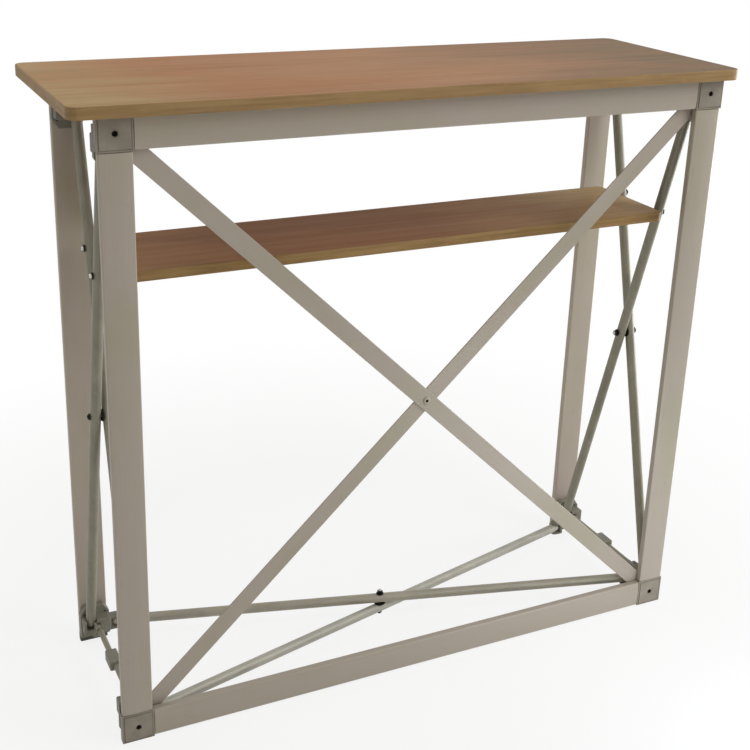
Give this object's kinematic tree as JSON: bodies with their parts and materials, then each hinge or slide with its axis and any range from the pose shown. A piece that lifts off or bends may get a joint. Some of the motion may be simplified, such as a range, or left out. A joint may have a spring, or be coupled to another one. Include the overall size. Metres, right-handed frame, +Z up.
{
  "type": "pop-up promotional counter",
  "caption": "Pop-up promotional counter: wood-grain top and shelf on a folding scissor frame of tubes and moulded hubs, with a braced front of flat bars.",
  "frame": {"origin": "on the floor under the middle of the table top", "axes": "+X along the counter to the right seen from the front, +Y to the rear, +Z up"},
  "size_m": [1.02, 0.342, 0.9503],
  "materials": {
    "bar_satin": "satin, warm light grey",
    "block_plastic": "fine moulded grain",
    "hub_plastic": "moulded, mid grey",
    "tube_silver": "drawn tube, silver",
    "steel": "zinc bright",
    "washer_black": "black moulded",
    "top_laminate": "wood-grain laminate",
    "top_edge": "edge band",
    "shelf_laminate": "wood-grain laminate",
    "shelf_edge": "edge band",
    "batten_wood": "bare softwood"
  },
  "bodies": {
    "frame": {"base_pivot_bolt": "steel", "base_pivot_washer": "washer_black", "base_tube_lower": "tube_silver", "base_tube_upper": "tube_silver", "corner_block_bottom_left": "block_plastic", "corner_block_bottom_right": "block_plastic", "corner_block_top_left": "block_plastic", "corner_block_top_right": "block_plastic", "corner_screw_bottom_left": "steel", "corner_screw_bottom_right": "steel", "corner_screw_top_left": "steel", "corner_screw_top_right": "steel", "cross_bar_front": "bar_satin", "cross_bar_rear": "bar_satin", "cross_rivet": "steel", "front_rail_bottom": "bar_satin", "front_rail_top": "bar_satin", "front_upright_left": "bar_satin", "front_upright_right": "bar_satin", "hub_front_bottom_left": "hub_plastic", "hub_front_bottom_right": "hub_plastic", "hub_front_top_left": "hub_plastic", "hub_front_top_right": "hub_plastic", "hub_rear_bottom_left": "hub_plastic", "hub_rear_bottom_right": "hub_plastic", "hub_rear_top_left": "hub_plastic", "hub_rear_top_right": "hub_plastic", "leg_screw_bottom_left": "steel", "leg_screw_bottom_right": "steel", "leg_screw_top_left": "steel", "leg_screw_top_right": "steel", "rear_leg_left": "bar_satin", "rear_leg_right": "bar_satin", "rear_leg_shoe_left": "block_plastic", "rear_leg_shoe_right": "block_plastic", "shelf_bolt_falling_left": "steel", "shelf_bolt_falling_right": "steel", "shelf_bolt_rising_left": "steel", "shelf_bolt_rising_right": "steel", "side_pivot_left_bolt": "steel", "side_pivot_left_washer": "washer_black", "side_pivot_right_bolt": "steel", "side_pivot_right_washer": "washer_black", "side_tube_falling_left": "tube_silver", "side_tube_falling_right": "tube_silver", "side_tube_rising_left": "tube_silver", "side_tube_rising_right": "tube_silver"},
    "table_top": {"table_top_edge_band": "top_edge", "table_top_panel": "top_laminate", "top_batten_left": "batten_wood", "top_batten_right": "batten_wood"},
    "shelf": {"shelf_edge_band": "shelf_edge", "shelf_panel": "shelf_laminate"},
    "lock_front_left": {"lock_arm_front_left": "tube_silver", "lock_hook_left": "hub_plastic"},
    "lock_rear_left": {"lock_arm_rear_left": "tube_silver"},
    "lock_front_right": {"lock_arm_front_right": "tube_silver", "lock_hook_right": "hub_plastic"},
    "lock_rear_right": {"lock_arm_rear_right": "tube_silver"}
  },
  "joints": [
    {"name": "top_lift", "type": "slide", "parent": "frame", "child": "table_top", "axis": [0, 0, 1], "range_m": [0, 0.25]},
    {"name": "shelf_lift", "type": "slide", "parent": "frame", "child": "shelf", "axis": [0, 0, 1], "range_m": [0, 0.12]},
    {"name": "lock_left_front", "type": "hinge", "parent": "frame", "child": "lock_front_left", "pos_m": [-0.447, -0.0895, 0.046], "axis": [1, 0, 0], "range_deg": [0, 60]},
    {"name": "lock_left_rear", "type": "hinge", "parent": "frame", "child": "lock_rear_left", "pos_m": [-0.447, 0.0895, 0.046], "axis": [-1, 0, 0], "range_deg": [0, 60]},
    {"name": "lock_right_front", "type": "hinge", "parent": "frame", "child": "lock_front_right", "pos_m": [0.479, -0.0895, 0.046], "axis": [1, 0, 0], "range_deg": [0, 60]},
    {"name": "lock_right_rear", "type": "hinge", "parent": "frame", "child": "lock_rear_right", "pos_m": [0.479, 0.0895, 0.046], "axis": [-1, 0, 0], "range_deg": [0, 60]}
  ],
  "couplings": [
    {"joint": "lock_left_rear", "follows": "lock_left_front", "ratio": 1},
    {"joint": "lock_right_rear", "follows": "lock_right_front", "ratio": 1}
  ]
}
